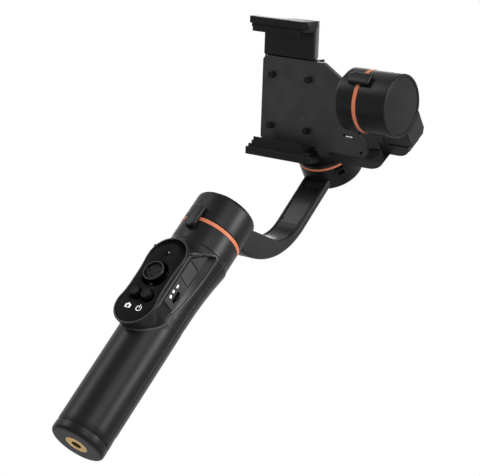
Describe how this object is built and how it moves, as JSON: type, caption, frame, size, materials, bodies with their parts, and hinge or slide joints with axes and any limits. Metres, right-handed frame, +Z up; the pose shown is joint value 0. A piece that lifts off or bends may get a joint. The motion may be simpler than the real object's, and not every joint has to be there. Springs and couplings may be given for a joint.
{
  "type": "gimbal stabilizer",
  "caption": "Handheld three-axis phone stabilizer: grip with a joystick console, a curved arm, three drum motors with orange rings and a sprung phone clamp",
  "frame": {"origin": "centre of the mouth of the tripod socket in the base of the handle", "axes": "+Z up the handle, along the yaw axis; +X to the right and -Y towards a user who faces the control panel"},
  "size_m": [0.1125, 0.1025, 0.3091],
  "materials": {
    "shell": "satin",
    "housing": "satin",
    "arm": "fine texture",
    "plate": "fine texture",
    "gloss_panel": "gloss",
    "stick_gloss": "gloss",
    "led": "gloss",
    "button_rubber": "matte",
    "flap_rubber": "matte",
    "pad_rubber": "matte",
    "cap": "fine texture",
    "knob": "satin",
    "bracket": "anodised dark",
    "orange_ring": "satin",
    "brass": "machined",
    "steel": "machined",
    "copper": "varnished windings",
    "battery": "film",
    "board": "solder mask"
  },
  "bodies": {
    "handle": {"handle_front_shell": "shell", "handle_back_shell": "shell", "base_cap": "shell", "tripod_socket": "brass", "control_panel": "gloss_panel", "status_led": "led", "side_plates": "plate", "usb_port": "steel", "battery": "battery", "main_board": "board", "handle_screws": "steel", "neck_cup": "housing", "yaw_ring": "orange_ring", "yaw_rotor": "steel", "yaw_shaft": "steel"},
    "stick_ring": {"joystick_ring": "housing"},
    "stick": {"joystick_cap": "stick_gloss"},
    "shutter": {"shutter_button": "button_rubber"},
    "power": {"power_button": "button_rubber"},
    "slider": {"mode_slider": "button_rubber"},
    "flap": {"port_cover": "flap_rubber"},
    "yaw_frame": {"yaw_cup": "housing", "yaw_stator": "copper", "yaw_bearings": "steel", "yaw_arm": "arm", "yaw_arm_cover": "housing", "roll_cup": "housing", "roll_stator": "copper", "roll_bearings": "steel"},
    "roll_frame": {"roll_base": "housing", "roll_ring": "orange_ring", "roll_rotor": "steel", "roll_shaft": "steel", "roll_arm": "arm", "roll_arm_cover": "housing"},
    "knob": {"extension_knob": "knob"},
    "extension": {"extension_bar": "arm", "pitch_cup": "housing", "pitch_end_cap": "cap", "pitch_stator": "copper", "pitch_bearings": "steel"},
    "clamp": {"pitch_base": "housing", "pitch_ring": "orange_ring", "pitch_rotor": "steel", "pitch_shaft": "steel", "clamp_bracket": "bracket", "bracket_screws": "steel", "clamp_body": "arm", "back_pads": "pad_rubber", "lower_jaw": "arm", "lower_jaw_pad": "pad_rubber", "jaw_springs": "steel"},
    "top_jaw": {"upper_jaw": "arm", "upper_jaw_pad": "pad_rubber", "guide_rods": "steel"}
  },
  "joints": [
    {"name": "yaw", "type": "hinge", "parent": "handle", "child": "yaw_frame", "pos_m": [0, 0, 0.15], "axis": [0, 0, 1], "range_deg": [-150, 150]},
    {"name": "roll", "type": "hinge", "parent": "yaw_frame", "child": "roll_frame", "pos_m": [0, 0, 0.2681], "axis": [0, -0.9898, 0.1426], "range_deg": [-150, 150]},
    {"name": "extension_slide", "type": "slide", "parent": "roll_frame", "child": "extension", "axis": [1, 0, 0], "range_m": [-0.006, 0.002]},
    {"name": "knob_turn", "type": "hinge", "parent": "roll_frame", "child": "knob", "pos_m": [0.0413, 0.03734, 0.25726], "axis": [0, -0.9898, 0.1426], "range_deg": [-90, 90]},
    {"name": "pitch", "type": "hinge", "parent": "extension", "child": "clamp", "pos_m": [0.0498, 0, 0.2681], "axis": [1, 0, 0], "range_deg": [-75, 100]},
    {"name": "jaw_slide", "type": "slide", "parent": "clamp", "child": "top_jaw", "axis": [0, -0.7501, 0.6613], "range_m": [0, 0.016], "stiffness_N_per_m": 200, "springref_m": -0.02, "deforming": ["jaw_springs"]},
    {"name": "stick_up_down", "type": "hinge", "parent": "handle", "child": "stick_ring", "pos_m": [0, -0.0196, 0.1055], "axis": [1, 0, 0], "range_deg": [-12, 12], "stiffness_Nm_per_rad": 0.02},
    {"name": "stick_sideways", "type": "hinge", "parent": "stick_ring", "child": "stick", "pos_m": [0, -0.0196, 0.1055], "axis": [0, 0, 1], "range_deg": [-12, 12], "stiffness_Nm_per_rad": 0.02},
    {"name": "shutter_press", "type": "slide", "parent": "handle", "child": "shutter", "axis": [0, 1, 0], "range_m": [0, 0.0008], "stiffness_N_per_m": 600, "springref_m": -0.001},
    {"name": "power_press", "type": "slide", "parent": "handle", "child": "power", "axis": [0, 1, 0], "range_m": [0, 0.0008], "stiffness_N_per_m": 600, "springref_m": -0.001},
    {"name": "mode_slide", "type": "slide", "parent": "handle", "child": "slider", "axis": [0, 0, 1], "range_m": [-0.0016, 0.0016]},
    {"name": "flap_turn", "type": "hinge", "parent": "handle", "child": "flap", "pos_m": [0.01475, -0.0143, 0.1094], "axis": [0, 1, 0], "range_deg": [0, 100], "stiffness_Nm_per_rad": 0.002, "springref_deg": -17.19}
  ]
}
